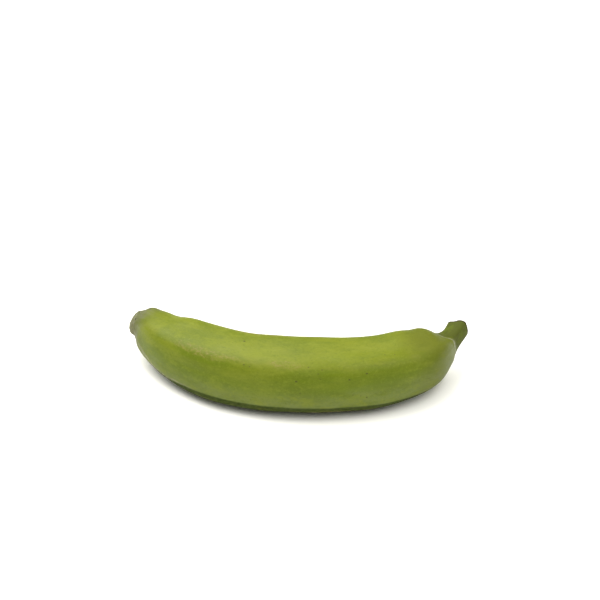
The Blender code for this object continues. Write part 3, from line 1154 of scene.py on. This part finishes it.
class FruitForm(PropertyGroup):
    """The sizes of the fruit's fine skin"""
    rings: IntProperty(name="Rings", description="Rings of points along the fruit", default=400, min=60)
    dome_rings: IntProperty(
        name="Dome rings", description="Rings on the blossom end's dome", default=22, min=5)
    cut_rings: IntProperty(name="Cut rings", description="Rings on the stem's cut face", default=22, min=5)
    points_around: IntProperty(name="Points around", description="Points in each ring", default=208, min=52)
    crest_height: metres("Ridge line", "How far the line along each ridge stands up", 0.03 * MM)
    strand_depth: metres("Strands", "Depth of the faint lengthwise strands under the peel", 0.020 * MM)
    unevenness: metres("Unevenness", "Height of the slow swells in the peel", 0.22 * MM)
    pucker_depth: metres("Puckers", "Depth of the puckers that gather at the blossom end", 0.14 * MM)
    rim_height: metres("Rim", "Height of the rim round the blossom end", 0.20 * MM)
    seam_height: metres(
        "Neck seam", "Height of the seam where the shoulder ends and the stem begins", 0.40 * MM)
    stem_strand_depth: metres("Stem strands", "Depth of the strands along the stem", 0.05 * MM)
    stem_facets: metres("Stem facets", "How far the stem's flattened sides dip", 0.25 * MM)


class PeelColours(PropertyGroup):
    """The colours of the peel, the cork and the cut"""
    # Lighter than the shaded side partly by its own colour and partly as painted light from above
    sunny: shade("Sunny side", "Yellow green of the upper side", 0.1500, 0.1730, 0.0100)
    leafy: shade("Shaded side", "Deeper green of the sides and the underside", 0.1030, 0.1410, 0.0075)
    # Painted shade: the underside darkened as if shaded by the floor it lies on
    shade_beneath: shade("Underside", "Dark green of the side that the fruit lies on", 0.0220, 0.0360, 0.0012)
    # Mostly a painted reflection of the pale floor on the waxy lower sides, also laid on the frosted places
    waxy: shade("Waxy side", "Paler grey green of the waxy lower sides", 0.1420, 0.1680, 0.0500)
    deep: shade("Deep patches", "Darker green of the patches and streaks", 0.08968, 0.1216, 0.0057)
    # Painted shade: a clearer, darker band with no sheen under the outer ridge
    lush_shade: shade("Lush band", "Clear green of the band under the outer ridge", 0.0980, 0.1390, 0.0040)
    # Painted shade on the top towards the stem
    golden_shade: shade("Golden band", "Warm green along the outer ridge towards the stem", 0.1280, 0.1550, 0.0020)
    pale: shade("Pale patches", "Paler yellow green of the patches and flecks", 0.1760, 0.2020, 0.0190)
    bloom: shade("Bloom", "Greyish green of the dull bloom at the blossom end", 0.1130, 0.1140, 0.0560)
    rust: shade("Rubbed tan", "Rusty tan where the ridges are rubbed", 0.2166, 0.1634, 0.0494)
    # Partly wear, partly a painted highlight where the lower edge catches light from the floor
    scuff: shade("Scuffs", "Greyish tan of the scuffed line low on the outer side", 0.2620, 0.2520, 0.1480)
    speck: shade("Specks", "Dark brown green of the specks", 0.0456, 0.04408, 0.01216)
    shoulder: shade("Shoulder", "Brownish green of the shoulder before the stem", 0.0860, 0.0940, 0.0080)
    stem: shade("Stem", "Dark dull green of the stem", 0.0580, 0.0690, 0.0070)
    cork: shade("Cork", "Grey brown of the blossom end", 0.1300, 0.1280, 0.0460)
    # Also the colour of the seam's painted highlight
    rim: shade("Rim", "Light grey of the dried rim and the seam", 0.2650, 0.2550, 0.1850)
    cut: shade("Cut", "Dried tan of the stem's cut face", 0.2280, 0.1824, 0.0760)
    dried: shade("Dried edge", "Dark brown of dried edges", 0.0380, 0.0304, 0.01368)


class Studio(PropertyGroup):
    """The camera, the floor and the lights"""
    camera_down: FloatProperty(
        name="Look down", description="How steeply the camera looks down", default=math.radians(32.6),
        subtype="ANGLE", unit="ROTATION")
    camera_distance: metres("Distance", "From the camera to the point it looks at", 0.8565)
    camera_aim: xyz_metres("Aim", "The point that the camera looks at", (0.0012, 0.0270, 0.0420))
    lens: FloatProperty(name="Lens", description="The camera's focal length in mm", default=85.0)
    floor_size: metres("Floor", "Width of the square floor", 40.0)
    floor_colour: shade("Floor colour", "The floor's pale colour", 0.94, 0.928, 0.86)
    key_power: watts("Key light", "Power of the soft light above on the left", 25.5)
    key_width: metres("Key width", "Width of the soft light above on the left", 1.4)
    key_place: xyz_metres("Key place", "Where the left soft light hangs", (-0.64, 0.44, 1.23))
    fill_power: watts("Fill light", "Power of the soft light above on the right", 10.0)
    fill_width: metres("Fill width", "Width of the soft light above on the right", 1.2)
    fill_place: xyz_metres("Fill place", "Where the right soft light hangs", (0.60, -0.55, 1.25))
    sky: FloatProperty(
        name="Room light", description="Strength of the room's light from above", default=1.55)
    horizon: FloatProperty(
        name="Horizon", description="Strength of the room's light from the side", default=0.16)
    dim_below: FloatProperty(
        name="Dim below", description="Height on the sky where the dim light ends", default=0.40)
    full_above: FloatProperty(
        name="Full above", description="Height on the sky where the full light begins", default=0.80)


class BANANA_OT_make_fruit(Operator):
    """Build the whole fruit as one closed skin with its peel, its corky blossom end and its dried cut"""
    bl_idname = "banana.make_fruit"
    bl_label = "Make the fruit"

    def execute(self, context):
        colours = context.scene.banana_colours
        tints = {name: tuple(getattr(colours, name)) for name in PeelColours.__annotations__}
        materials = (peel_material(tints), cork_material(tints), cut_material(tints))
        fruit = bpy.data.objects.new("banana_fruit", make_skin(context.scene.banana_form, materials))
        context.scene.collection.objects.link(fruit)
        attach(fruit, "root")
        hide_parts("banana")
        return {"FINISHED"}


class BANANA_OT_set_stage(Operator):
    """Set the plain floor, the soft lights and the camera round the fruit"""
    bl_idname = "banana.set_stage"
    bl_label = "Set the stage"

    def execute(self, context):
        studio = context.scene.banana_studio
        add_floor(studio)
        context.scene.world = room_light(studio)
        context.scene.view_settings.view_transform = "Standard"
        add_light("key_light", studio.key_power, studio.key_width, studio.key_place)
        add_light("fill_light", studio.fill_power, studio.fill_width, studio.fill_place)
        add_camera(studio)
        return {"FINISHED"}


class BANANA_PT_sidebar(Panel):
    """The fruit's sizes, colours and studio, and the buttons that build them"""
    bl_label = "Banana"
    bl_idname = "BANANA_PT_sidebar"
    bl_space_type = "VIEW_3D"
    bl_region_type = "UI"
    bl_category = "Banana"

    def draw(self, context):
        layout = self.layout
        scene = context.scene
        for title, group in (
            ("Form", scene.banana_form),
            ("Colours", scene.banana_colours),
            ("Studio", scene.banana_studio),
        ):
            box = layout.box()
            box.label(text=title)
            for name in group.__annotations__:
                box.prop(group, name)
        layout.operator(BANANA_OT_make_fruit.bl_idname)
        layout.operator(BANANA_OT_set_stage.bl_idname)


CLASSES = (FruitForm, PeelColours, Studio, BANANA_OT_make_fruit, BANANA_OT_set_stage, BANANA_PT_sidebar)


def register():
    for cls in CLASSES:
        bpy.utils.register_class(cls)
    bpy.types.Scene.banana_form = PointerProperty(type=FruitForm)
    bpy.types.Scene.banana_colours = PointerProperty(type=PeelColours)
    bpy.types.Scene.banana_studio = PointerProperty(type=Studio)


def unregister():
    del bpy.types.Scene.banana_studio
    del bpy.types.Scene.banana_colours
    del bpy.types.Scene.banana_form
    for cls in reversed(CLASSES):
        bpy.utils.unregister_class(cls)


def main():
    register()
    bpy.ops.banana.make_fruit()
    bpy.ops.banana.set_stage()


if __name__ == "__main__":
    main()
